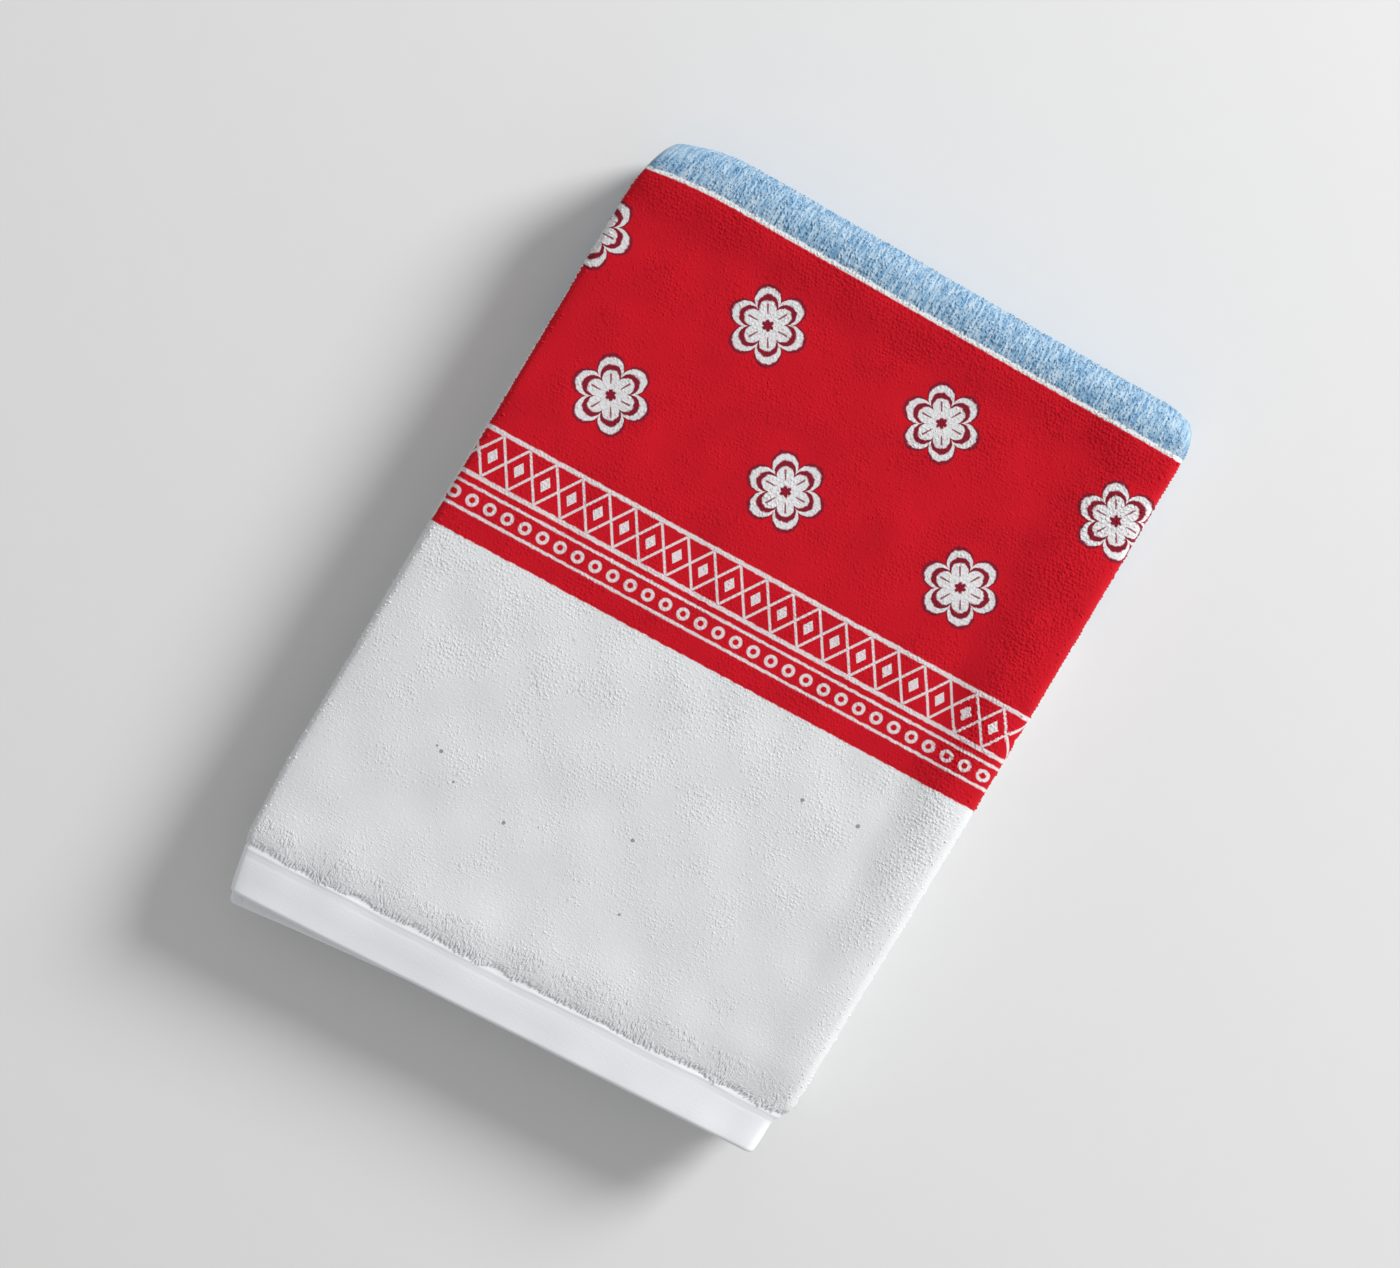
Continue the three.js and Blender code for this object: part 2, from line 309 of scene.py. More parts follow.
def clothPoint(across, along, height):
    # where a point of the cloth lies in the folded pack, as rows of x, y and z
    across, along, height = np.broadcast_arrays(across, along, height)
    place, level, outX, outUp, _ = pathAt(acrossRuns, across)
    placeY, levelZ, outY, outZ, low = pathAt(alongRuns, along)
    fromHem = np.minimum(along, cloth["length"] - along)
    ease = hemShare + (1 - hemShare) * smooth(cloth["hemDepth"] / 2, cloth["frontEase"], fromHem)
    lift = level * ease + height * outUp
    sag = lie["lipSag"] * (1 - smooth(0, lie["lipDepth"], along)) * frontShare(place)
    x = place + height * outX + outline["layerDrift"] * np.sin(along / outline["driftLength"])
    y = placeY + lift * outY
    slumpStart, slumpEnd, slumpEase = lie["slumpFrom"], lie["slumpTo"], lie["slumpEase"]
    slump = smooth(slumpStart, slumpStart + slumpEase, place)
    slump = slump * (1 - smooth(slumpEnd - slumpEase, slumpEnd, place))
    slump = slump * (1 - smooth(cloth["hemDepth"], lie["slumpLength"], fromHem))
    slump = slump * np.interp(level * outZ, (-plyPitch, plyPitch), (-lie["slump"][1], lie["slump"][0]))
    loose = 1 - smooth(*lie["looseReach"], fromHem)
    sway = lie["sway"] * wavy(swayWaves, place, lie["swayApart"] * levelZ) * loose
    z = levelZ + lift * outZ - (1 - ease) * layerThickness / 2 - sag - slump + sway
    flap = runOf(acrossRuns, "lower flap")
    flapShare = np.clip((across - flap["begins"]) / (flap["ends"] - flap["begins"]), 0, 1)
    y = y + lie["flush"][0] * np.clip(1 - across / innerFlapWidth, 0, 1) * loose
    y = y + lie["flush"][1] * flapShare * loose
    lowerHemFrom = cloth["length"] - endFoldY + outerFoldRadius
    lowerHem = smooth(lowerHemFrom, cloth["length"] - outline["lowerHemMeets"], along)
    hemLine = -outline["lowerHemLead"] * (1 - (x - leftEdge) / outline["lowerHemMeets"]) * lowerHem
    y = y + hemLine
    z = z * (1 + topShape(x, y) / packHeight)

    x, y = roundCorner(x, y, leftEdge, backEdge, 1, outline["backLeftRadius"])
    x, y = roundCorner(x, y, rightEdge, backEdge, 1, outline["backRightRadius"])
    x, y = roundCorner(x, y, leftEdge, cloth["middleFoldSetback"], -1, outline["frontRadius"], low)
    x, y = roundCorner(x, y, rightEdge, cloth["middleFoldSetback"], -1, outline["frontRadius"], low)
    x, y = roundCorner(x, y, leftEdge, hemLine, -1, lie["hemCorner"], 1 - low)
    x, y = roundCorner(x, y, rightEdge, hemLine, -1, lie["hemCorner"], 1 - low)

    hemEnd = cloth["hemDepth"] + cloth["pileEdge"]
    leftInset = (outline["leftLean"] * (1 - smooth(cloth["hemDepth"], outline["leftLeanEnd"], y))
                 + outline["leftHemInset"] * np.maximum(0, 1 - y / hemEnd))
    rightInset = outline["rightHemInset"] * (1 - smooth(outline["rightStepStart"], hemEnd, y))
    x = (x + leftInset * (1 - smooth(0, outline["edgeReach"], x - leftEdge))
         - rightInset * (1 - smooth(0, outline["edgeReach"], rightEdge - x)))
    back = y / backEdge
    y = y + x * (outline["hemSlant"] * (1 - back) + outline["foldSlant"] * back)
    return np.stack([x - outline["middle"][0], y - outline["middle"][1], np.maximum(z, 0)], axis=-1)


# Making pieces

def deselect():
    for body in bpy.context.selected_objects:
        body.select_set(False)


def applyModifiers(body):
    deselect()
    body.select_set(True)
    bpy.context.view_layer.objects.active = body
    for modifier in list(body.modifiers):
        bpy.ops.object.modifier_apply(modifier=modifier.name)


def formOf(addPrimitive, **settings):
    # a small form made of triangles, as its points and faces, to be repeated
    deselect()
    addPrimitive(**settings)
    body = bpy.context.object
    bpy.ops.object.mode_set(mode="EDIT")
    bpy.ops.mesh.select_all(action="SELECT")
    bpy.ops.mesh.quads_convert_to_tris()
    bpy.ops.object.mode_set(mode="OBJECT")
    points = np.array([tuple(vertex.co) for vertex in body.data.vertices])
    faces = np.array([tuple(face.vertices) for face in body.data.polygons])
    mesh = body.data
    bpy.data.objects.remove(body)
    bpy.data.meshes.remove(mesh)
    return points, faces


bakeMap = {                       # a second map of the cloth, OFBake, as shares of its picture
    "margin": 0.005,
    "shownWidth": 0.69,           # the part of the cloth that shows gets this much of it
    "otherFrom": 0.72,
    "otherWidth": 0.27,
    "faceHeight": 0.485,
    "plainFrom": 0.505,
}


def joinedPiece(name, points, faces, clothUv):
    # points is (copies, corners, 3), and faces are those of one copy
    copies, corners = points.shape[:2]
    allFaces = (faces[None] + corners * np.arange(copies)[:, None, None]).reshape(-1, 3)
    mesh = bpy.data.meshes.new(name)
    mesh.from_pydata(points.reshape(-1, 3).tolist(), [], allFaces.tolist())
    uv = clothUv.reshape(-1, 2)[allFaces.ravel()]
    mesh.uv_layers.new(name="cloth").data.foreach_set("uv", uv.ravel())
    low, high = uv.min(axis=0), uv.max(axis=0)
    bake = bakeMap["margin"] + (1 - 2 * bakeMap["margin"]) * (uv - low) / (high - low)
    mesh.uv_layers.new(name="OFBake").data.foreach_set("uv", bake.ravel())
    mesh.uv_layers.active = mesh.uv_layers["cloth"]
    piece = bpy.data.objects.new(name, mesh)
    bpy.context.collection.objects.link(piece)
    print(name, copies, "copies,", len(allFaces), "triangles")
    return piece


def spaced(start, end, step):
    return np.linspace(start, end, max(2, round(abs(end - start) / step) + 1))


# The cloth itself

plainFrom = 0.9                   # on the map of the cloth the plain face lies past here, in metres

ground = {
    "thickness": 2.8 * mm,        # of one ply, with the feet of its loops
    "hem": 2.2 * mm,
    "hemTo": (22 * mm, 26 * mm),  # the hem's thickness passes to the other's over this stretch
    "least": 1.1 * mm,
    "most": 6 * mm,
    "ridge": 0.3 * mm,            # the turned edge of the hem stands up by this much
    "ridgeAt": 20.4 * mm,
    "ridgeReach": 0.62 * mm,
    "ridgeWander": (0.2 * mm, 0.4 * mm),
    "ridgeVary": (0.25, 0.35),
    "seam": 0.12 * mm,            # the sewing draws the hem in by this much
    "seamAt": 17.4 * mm,
    "seamReach": 0.7 * mm,
    "seamWander": 0.3 * mm,
    "seamVary": 0.6,
    "dip": 0.5 * mm,              # bare ground between the hem and the pile
    "dipAt": 22.8 * mm,
    "dipReach": 1.4 * mm,
    "dipWander": 0.5 * mm,
    "dipVary": (0.9, 0.6),
    "lip": 2 * mm,                # the edges are rounded over this depth
    "lipShare": 0.35,             # down to this share of the thickness
    "fluff": 1.4 * mm,            # more pile where no ply lies inside a layer
    "fluffReach": 8 * mm,
    "fluffFrom": (10 * mm, 30 * mm),
}

# Steps of the cloth's mesh, along a run or as (up to here, step) within it
grid = {
    "edge": 0.7 * mm,
    "hidden": 13 * mm,
    "topPly": 3 * mm,
    "leftFold": 0.6 * mm,
    "rightFold": 0.9 * mm,
    "lowerFlap": (50 * mm, 6 * mm),
    "hem": (15.5 * mm, 3.4 * mm),
    "hemEdge": (28 * mm, 0.55 * mm),
    "topLayer": 3 * mm,
    "outerFold": 2.2 * mm,
    "bottomLayer": 10 * mm,
    "middleFold": 1.4 * mm,
    "innerFold": 1.6 * mm,
    "lowerHem": (16 * mm, 4 * mm),      # these two from the end of the cloth
    "lowerHemEdge": (30 * mm, 1.4 * mm),
}


def fluffOf(across, along):
    # extra pile on the plain face, where the end of the inner flap leaves room for it
    topPly, lowerFlap = runOf(acrossRuns, "top ply"), runOf(acrossRuns, "lower flap")
    start = topPly["ends"] - (rightFoldX - (leftFoldX + innerFlapWidth))
    end = lowerFlap["begins"] + (rightFoldX - (leftFoldX + innerFlapWidth))
    reach = ground["fluffReach"]
    fromHem = np.minimum(along, cloth["length"] - along)
    low, high = ground["fluffFrom"]
    inPile = smooth(cloth["hemDepth"] + low, cloth["hemDepth"] + high, fromHem)
    inMiddle = smooth(start, start + reach, across)
    return ground["fluff"] * inMiddle * (1 - smooth(end - reach, end, across)) * inPile


def groundThickness(across, along):
    fromHem = np.minimum(along, cloth["length"] - along)
    fromSide = np.minimum(across, cloth["width"] - across)
    uneven = wavy(hemWaves, across, along)
    welt = wavy(weltWaves, across, np.zeros_like(along))
    clump = wavy(clumpWaves, across, along)
    thick = ground["hem"] + (ground["thickness"] - ground["hem"]) * smooth(*ground["hemTo"], fromHem)
    wander, vary = ground["ridgeWander"], ground["ridgeVary"]
    ridge = fromHem - ground["ridgeAt"] - wander[0] * uneven - wander[1] * welt
    ridgeShare = np.clip(1 + vary[0] * uneven + vary[1] * welt, 0.2, 2)
    thick += ground["ridge"] * ridgeShare * np.exp(-(ridge / ground["ridgeReach"]) ** 2)
    seam = fromHem - ground["seamAt"] - ground["seamWander"] * welt
    seamShare = np.clip(1 - ground["seamVary"] * welt, 0.2, 2)
    thick -= ground["seam"] * seamShare * np.exp(-(seam / ground["seamReach"]) ** 2)
    dip = fromHem - ground["dipAt"] + ground["dipWander"] * clump
    dipShare = np.clip(ground["dipVary"][0] - ground["dipVary"][1] * clump, 0, 2)
    thick -= ground["dip"] * dipShare * np.exp(-(dip / ground["dipReach"]) ** 2)
    thick = np.maximum(thick, ground["least"])
    share = ground["lipShare"]
    for distance in (fromHem, fromSide):
        edge = np.clip(distance / ground["lip"], 0, 1)
        thick = thick * (share + (1 - share) * np.sqrt(1 - (1 - edge) ** 2))
    return thick + fluffOf(across, along)


def clothStops(runs, steps):
    # distances along the cloth, with a step for each run, or stops and steps within it
    stops = [np.zeros(1)]
    for run in runs:
        step = steps[run["name"]]
        marks = step if isinstance(step, list) else [(run["length"], step)]
        done = 0
        for end, fine in marks:
            stops.append(run["begins"] + spaced(done, end, fine)[1:])
            done = end
    return np.concatenate(stops)


def makeTowel():
    hidden, fine, lip = grid["hidden"], grid["edge"], ground["lip"]
    layerLength = runOf(alongRuns, "layer 1")["length"]
    flapLength = runOf(acrossRuns, "lower flap")["length"]
    across = clothStops(acrossRuns, {
        "inner flap": [(lip, fine), (innerFlapWidth, hidden)],
        "left fold": grid["leftFold"],
        "top ply": grid["topPly"],
        "right fold": grid["rightFold"],
        "lower flap": [grid["lowerFlap"], (flapLength - lip, hidden), (flapLength, fine)],
    })
    (hemDepth, hemStep), (edgeDepth, edgeStep) = grid["lowerHem"], grid["lowerHemEdge"]
    along = clothStops(alongRuns, {
        "layer 1": [(lip, fine), grid["hem"], grid["hemEdge"], (layerLength, grid["topLayer"])],
        "outer fold": grid["outerFold"],
        "layer 4": grid["bottomLayer"],
        "middle fold": grid["middleFold"],
        "layer 3": hidden,
        "inner fold": grid["innerFold"],
        "layer 2": [(layerLength - edgeDepth, hidden), (layerLength - hemDepth, edgeStep),
                    (layerLength - lip, hemStep), (layerLength, fine)],
    })
    columns, rows = len(across), len(along)
    deselect()
    bpy.ops.mesh.primitive_grid_add(x_subdivisions=columns - 1, y_subdivisions=rows - 1, size=1)
    towel = bpy.context.object
    towel.name = towel.data.name = "towel_cloth"
    mesh = towel.data
    flatPoints = np.empty(len(mesh.vertices) * 3)
    mesh.vertices.foreach_get("co", flatPoints)
    flatPoints = flatPoints.reshape(-1, 3)
    column = np.rint((flatPoints[:, 0] + 0.5) * (columns - 1)).astype(int)
    rowOf = np.rint((flatPoints[:, 1] + 0.5) * (rows - 1)).astype(int)
    across, along = across[column], along[rowOf]
    points = clothPoint(across, along, -fluffOf(across, along) / 2)
    mesh.vertices.foreach_set("co", points.ravel())
    corner = np.empty(len(mesh.loops), dtype=int)
    mesh.loops.foreach_get("vertex_index", corner)
    while mesh.uv_layers:
        mesh.uv_layers.remove(mesh.uv_layers[0])
    layer = mesh.uv_layers.new(name="cloth")
    layer.data.foreach_set("uv", np.stack([across, along], axis=-1)[corner].ravel())

    group = towel.vertex_groups.new(name="thickness")
    for number, share in enumerate(groundThickness(across, along) / ground["most"]):
        group.add([number], float(share), "REPLACE")
    faceCount = len(mesh.polygons)
    solid = towel.modifiers.new("thickness", "SOLIDIFY")
    solid.thickness = ground["most"]
    solid.offset = 0
    solid.vertex_group = "thickness"
    applyModifiers(towel)
    markFaces(towel.data, faceCount)
    addBakeMap(towel.data)
    towel.data.shade_smooth()
    towel.vertex_groups.clear()
    print("towel", columns, "by", rows, "stops,", len(towel.data.polygons), "faces")
    return towel


def markFaces(mesh, faceCount):
    # the plain face lies beside the printed one on the map of the cloth, a metre further across
    uv = np.empty(len(mesh.loops) * 2)
    mesh.uv_layers["cloth"].data.foreach_get("uv", uv)
    uv = uv.reshape(-1, 2)
    starts = np.empty(len(mesh.polygons), dtype=int)
    mesh.polygons.foreach_get("loop_start", starts)
    plain = slice(starts[faceCount], starts[2 * faceCount])
    uv[plain, 0] += 1
    mesh.uv_layers["cloth"].data.foreach_set("uv", uv.ravel())


def addBakeMap(mesh):
    margin = bakeMap["margin"]
    layer = runOf(alongRuns, "outer fold")["ends"]
    shown = (runOf(acrossRuns, "left fold")["begins"], runOf(acrossRuns, "right fold")["ends"])
    uv = np.empty(len(mesh.loops) * 2)
    mesh.uv_layers["cloth"].data.foreach_get("uv", uv)
    uv = uv.reshape(-1, 2)
    count = len(mesh.polygons)
    starts, totals = np.empty(count, dtype=int), np.empty(count, dtype=int)
    mesh.polygons.foreach_get("loop_start", starts)
    mesh.polygons.foreach_get("loop_total", totals)
    middle = np.add.reduceat(uv, starts, axis=0) / totals[:, None]
    onTop = (middle[:, 0] > shown[0]) & (middle[:, 0] < shown[1]) & (middle[:, 1] < layer)
    onTop = np.repeat(onTop, totals)
    plain = np.repeat(middle[:, 0] > plainFrom, totals)
    bake = np.empty_like(uv)
    bake[:, 0] = bakeMap["otherFrom"] + bakeMap["otherWidth"] * (uv[:, 0] - plain) / cloth["width"]
    bake[:, 1] = margin + bakeMap["faceHeight"] * uv[:, 1] / cloth["length"] + bakeMap["plainFrom"] * plain
    bake[onTop, 0] = margin + bakeMap["shownWidth"] * (uv[onTop, 0] - shown[0]) / (shown[1] - shown[0])
    bake[onTop, 1] = margin + (1 - 2 * margin) * uv[onTop, 1] / layer
    mesh.uv_layers.new(name="OFBake").data.foreach_set("uv", bake.ravel())
    mesh.uv_layers.active = mesh.uv_layers["cloth"]


# The pile

pile = {
    "row": 1.8 * mm,              # between rows of loops, along the cloth
    "column": 1.7 * mm,
    "start": 24.6 * mm,           # from the hem's edge
    "halfLength": 1.15 * mm,
    "halfWidth": 0.85 * mm,
    "halfHeight": 0.11 * mm,
    "foldHeight": 0.42 * mm,      # the same round the folds, where the loops stand apart
    "crown": 1.6 * mm,            # height of a loop's top over the middle of the cloth
    "foldCrown": 1.88 * mm,
    "patches": 0.05 * mm,         # the loops stand higher in some places than in others
    "uneven": 0.33,               # as a share of a loop's half height
    "shift": 0.3 * mm,
    "turn": 0.8,
    "lean": 0.35 * mm,
    "vary": 0.3,
}

tufts = {
    "rows": (23.8 * mm, 35.5 * mm),   # first and last, from the hem's edge
    "rowCount": 10,
    "step": 1.1 * mm,
    "length": (3.6 * mm, 2.3 * mm),   # in the first row and in the last
    "width": 1.05 * mm,
    "height": 0.27 * mm,
    "crown": (1.46 * mm, 1.56 * mm),
    "clump": (0.9 * mm, 0.14 * mm),   # clumps of them reach further out, and stand higher
    "clumpShare": (1, 0.3),           # in the first row and in the last
    "comb": 0.25,                     # and lean this way and that
    "lift": 0.1 * mm,                 # the end towards the hem stands up
    "shift": 0.35 * mm,
    "turn": 0.3,
    "vary": 0.3,
    "rise": 0.08 * mm,
}

stitches = {
    "at": 17.4 * mm,              # from the hem's edge
    "step": 2.9 * mm,
    "length": 2.3 * mm,
    "width": 0.5 * mm,
    "height": 0.45 * mm,
    "level": 0.93 * mm,           # over the middle of the hem
    "turn": 0.05,
    "vary": 0.04,
}


def surfaceStops(run, start, end, step, height):
    # distances along the cloth that are a step apart on its outer face
    stretch = (run["radius"] + height) / run["radius"] if "radius" in run else 1
    count = max(1, round((end - start) * stretch / step))
    return start + (np.arange(count) + 0.5) * (end - start) / count


def pileStops(runs, names, step, height, trims=None):
    stops = []
    for name in names:
        run = runOf(runs, name)
        low, high = (trims or {}).get(name, (0, run["length"]))
        stops.append(surfaceStops(run, run["begins"] + low, run["begins"] + high, step, height))
    return np.concatenate(stops)


def loopPlaces(across, along):
    # every other row is shifted by half a step
    places = np.stack(np.meshgrid(across, along), axis=-1)
    half = np.gradient(across) / 2
    places[1::2, :, 0] += half[None]
    return places.reshape(-1, 2)


def pileLoops(name, places, seed, halfHeight, loopCrown):
    chance = np.random.default_rng(seed)
    count = len(places)
    points, faces = formOf(bpy.ops.mesh.primitive_cone_add, vertices=4, radius1=1, depth=2)
    size = 1 + chance.uniform(-pile["vary"], pile["vary"], (count, 3))
    heading = chance.normal(0, pile["turn"], count)
    lean = chance.normal(0, pile["lean"], (count, 2))
    spot = places + chance.normal(0, pile["shift"], (count, 2))
    patch = wavy(patchWaves, places[:, 0], places[:, 1])
    crown = loopCrown + pile["patches"] * patch + chance.normal(0, pile["uneven"] * halfHeight, count)
    halfHeight = halfHeight * size[:, 2]
    x = points[None, :, 0] * pile["halfWidth"] * size[:, :1]
    y = points[None, :, 1] * pile["halfLength"] * size[:, 1:2]
    up = points[None, :, 2]
    cos, sin = np.cos(heading)[:, None], np.sin(heading)[:, None]
    across = spot[:, :1] + x * cos - y * sin + lean[:, :1] * np.maximum(up, 0)
    along = spot[:, 1:] + x * sin + y * cos + lean[:, 1:] * np.maximum(up, 0)
    height = (crown - halfHeight)[:, None] + up * halfHeight[:, None]
    uv = np.stack([across, along], axis=-1)
    return joinedPiece(name, clothPoint(across, along, height), faces, uv)


def makeTopPile():
    across = pileStops(acrossRuns, ["top ply"], pile["column"], 0)
    layer = runOf(alongRuns, "layer 1")
    along = pileStops(alongRuns, ["layer 1"], pile["row"], 0, {"layer 1": (pile["start"], layer["length"])})
    return pileLoops("pile_top", loopPlaces(across, along), 21, pile["halfHeight"], pile["crown"])


def makeFoldPile():
    outside = pile["crown"]
    sides = [
        pileStops(acrossRuns, ["left fold"], pile["column"], outside),
        pileStops(acrossRuns, ["right fold"], pile["column"], outside),
    ]
    layers = ["layer 1", "layer 4", "layer 3", "layer 2"]
    layer = runOf(alongRuns, "layer 1")
    hemTrims = {
        "layer 1": (pile["start"], layer["length"]),
        "layer 2": (0, runOf(alongRuns, "layer 2")["length"] - pile["start"]),
    }
    rows = pileStops(alongRuns, layers, pile["row"], 0, hemTrims)
    places = [loopPlaces(side, rows) for side in sides]
    allAcross = pileStops(acrossRuns, ["left fold", "top ply", "right fold"], pile["column"], outside)
    foldRows = [
        pileStops(alongRuns, ["outer fold"], pile["row"], plyPitch + outside),
        pileStops(alongRuns, ["middle fold"], pile["row"], plyPitch + outside),
    ]
    places += [loopPlaces(allAcross, rows) for rows in foldRows]
    return pileLoops("pile_folds", np.concatenate(places), 22, pile["foldHeight"], pile["foldCrown"])


def outerStops(step):
    # places across the part of a layer that shows
    return pileStops(acrossRuns, ["left fold", "top ply", "right fold"], step, pile["crown"])


def makeTufts():
    # loops at the edge of the pile hang over the hem
    chance = np.random.default_rng(23)
    points, faces = formOf(bpy.ops.mesh.primitive_uv_sphere_add, segments=5, ring_count=4, radius=0.5)
    across = outerStops(tufts["step"])
    rows = np.linspace(*tufts["rows"], tufts["rowCount"])
    spot = np.stack(np.meshgrid(across, rows), axis=-1).reshape(-1, 2)
    count = len(spot)
    clump = wavy(clumpWaves, spot[:, 0], spot[:, 1])
    length = np.interp(spot[:, 1], tufts["rows"], tufts["length"])
    crown = np.interp(spot[:, 1], tufts["rows"], tufts["crown"])
    atEdge = np.interp(spot[:, 1], tufts["rows"], tufts["clumpShare"])
    spot = spot + chance.normal(0, tufts["shift"], (count, 2))
    spot[:, 1] -= tufts["clump"][0] * clump * atEdge
    size = 1 + chance.uniform(-tufts["vary"], tufts["vary"], (count, 3))
    heading = (chance.normal(0, tufts["turn"], count) + tufts["comb"] * clump)[:, None]
    x = points[None, :, 0] * tufts["width"] * size[:, :1]
    y = points[None, :, 1] * length[:, None] * size[:, 1:2]
    up = points[None, :, 2] * tufts["height"] * size[:, 2:]
    lift = tufts["lift"] * np.maximum(0, -points[None, :, 1]) * 2
    crown = crown + tufts["clump"][1] * clump * atEdge + chance.normal(0, tufts["rise"], count)
    height = (crown - tufts["height"] / 2)[:, None] + up + lift
    across = spot[:, :1] + x * np.cos(heading) - y * np.sin(heading)
    along = spot[:, 1:] + x * np.sin(heading) + y * np.cos(heading)
    uv = np.stack([across, along], axis=-1)
    return joinedPiece("pile_edge", clothPoint(across, along, height), faces, uv)


def makeStitches():
    chance = np.random.default_rng(24)
    points, faces = formOf(bpy.ops.mesh.primitive_uv_sphere_add, segments=6, ring_count=4, radius=0.5)
    middle = outerStops(stitches["step"])
    count = len(middle)
    heading = chance.normal(0, stitches["turn"], count)[:, None]
    x = points[None, :, 0] * stitches["length"] * (1 + chance.normal(0, stitches["vary"], (count, 1)))
    y = points[None, :, 1] * stitches["width"]
    across = middle[:, None] + x * np.cos(heading) - y * np.sin(heading)
    along = stitches["at"] + x * np.sin(heading) + y * np.cos(heading)
    height = stitches["level"] + points[None, :, 2] * stitches["height"] + np.zeros_like(x)
    uv = np.stack([across, along], axis=-1)
    return joinedPiece("hem_stitches", clothPoint(across, along, height), faces, uv)


# Materials

class Number:
    # a socket that carries a number, so that sums of it can be written out
    def __init__(self, shader, socket):
        self.shader = shader
        self.socket = socket

    def math(self, operation, *others, first=None):
        values = {place: value for place, value in enumerate([self if first is None else first, *others])}
        node = self.shader.add("ShaderNodeMath", {"operation": operation}, values)
        return Number(self.shader, node.outputs[0])

    def __add__(self, other):
        return self.math("ADD", other)

    def __radd__(self, other):
        return self.math("ADD", other)

    def __sub__(self, other):
        return self.math("SUBTRACT", other)

    def __rsub__(self, other):
        return self.math("SUBTRACT", self, first=other)

    def __mul__(self, other):
        return self.math("MULTIPLY", other)

    def __rmul__(self, other):
        return self.math("MULTIPLY", other)

    def __truediv__(self, other):
        return self.math("DIVIDE", other)

    def __pow__(self, other):
        return self.math("POWER", other)

    def __mod__(self, other):
        return self.math("FLOORED_MODULO", other)

    def __lt__(self, other):
        return self.math("LESS_THAN", other)

    def __gt__(self, other):
        return self.math("GREATER_THAN", other)

    def __abs__(self):
        return self.math("ABSOLUTE")

    def sin(self):
        return self.math("SINE")

    def cos(self):
        return self.math("COSINE")

    def most(self, other):
        return self.math("MAXIMUM", other)

    def least(self, other):
        return self.math("MINIMUM", other)

    def between(self, low, high, soft):
        # 1 from low to high, with soft edges
        return self.rising(low, soft) * (1 - self.rising(high, soft))

    def rising(self, middle, soft):
        node = self.shader.add("ShaderNodeMapRange", {"interpolation_type": "SMOOTHSTEP"}, {
            "Value": self, "From Min": middle - soft / 2, "From Max": middle + soft / 2,
        })
        return Number(self.shader, node.outputs[0])


class Shader:
    def __init__(self, name):
        self.material = bpy.data.materials.new(name)
        self.material.use_nodes = True
        self.tree = self.material.node_tree
        self.tree.nodes.clear()

    def add(self, kind, settings, sockets):
        node = self.tree.nodes.new(kind)
        for name, value in settings.items():
            setattr(node, name, value)
        for name, value in sockets.items():
            socket = node.inputs[name]
            if isinstance(value, Number):
                self.tree.links.new(value.socket, socket)
            elif isinstance(value, bpy.types.NodeSocket):
                self.tree.links.new(value, socket)
            else:
                socket.default_value = value
        return node

    def clothPlace(self):
        # across and along the cloth, in millimetres
        place = self.add("ShaderNodeUVMap", {"uv_map": "cloth"}, {})
        parts = self.add("ShaderNodeSeparateXYZ", {}, {0: place.outputs[0]})
        return Number(self, parts.outputs[0]) * 1000, Number(self, parts.outputs[1]) * 1000

    def vector(self, x, y, z=0.0):
        return self.add("ShaderNodeCombineXYZ", {}, {0: x, 1: y, 2: z}).outputs[0]

    def noise(self, vector, scale, detail=2.0, roughness=0.5):
        node = self.add("ShaderNodeTexNoise", {}, {
            "Vector": vector, "Scale": scale, "Detail": detail, "Roughness": roughness,
        })
        return Number(self, node.outputs["Fac"])

    def mix(self, share, low, high):
        # colours as (red, green, blue) or sockets
        node = self.add("ShaderNodeMix", {"data_type": "RGBA"}, {0: share})
        for place, value in ((6, low), (7, high)):
            if isinstance(value, tuple):
                node.inputs[place].default_value = (*value, 1)
            else:
                self.tree.links.new(value, node.inputs[place])
        return node.outputs[2]

    def finish(self, colour, roughness, height, depth, constants):
        bump = self.add("ShaderNodeBump", {}, {"Height": height, "Distance": depth, "Strength": 1.0})
        surface = self.add("ShaderNodeBsdfPrincipled", {}, {
            "Base Color": colour, "Roughness": roughness, "Normal": bump.outputs[0], **constants,
        })
        self.add("ShaderNodeOutputMaterial", {}, {"Surface": surface.outputs[0]})
        return self.material


dye = {
    # painted shade: the pile's white is set darker than the hem's, for the pile's self-shadowing; the same
    # white is also that of the print
    "white": (0.842, 0.854, 0.867),
    "hem": (0.918, 0.932, 0.96),
    "paintedShade": 0.1,                 # painted shade: the pile between its loop tops and specks is darker by this share
    "clouds": 0.075,              # and slowly varies by this much
    "red": (0.66, 0.0075, 0.02),
    "darkRed": (0.59, 0.0065, 0.018),
    "maroon": (0.2, 0.012, 0.03),
    "blue": (0.14, 0.3, 0.48),
    "paleBlue": (0.44, 0.57, 0.68),
    "grey": (0.2, 0.2, 0.22),
    "soft": 0.7,                  # width of a printed edge, in mm
}

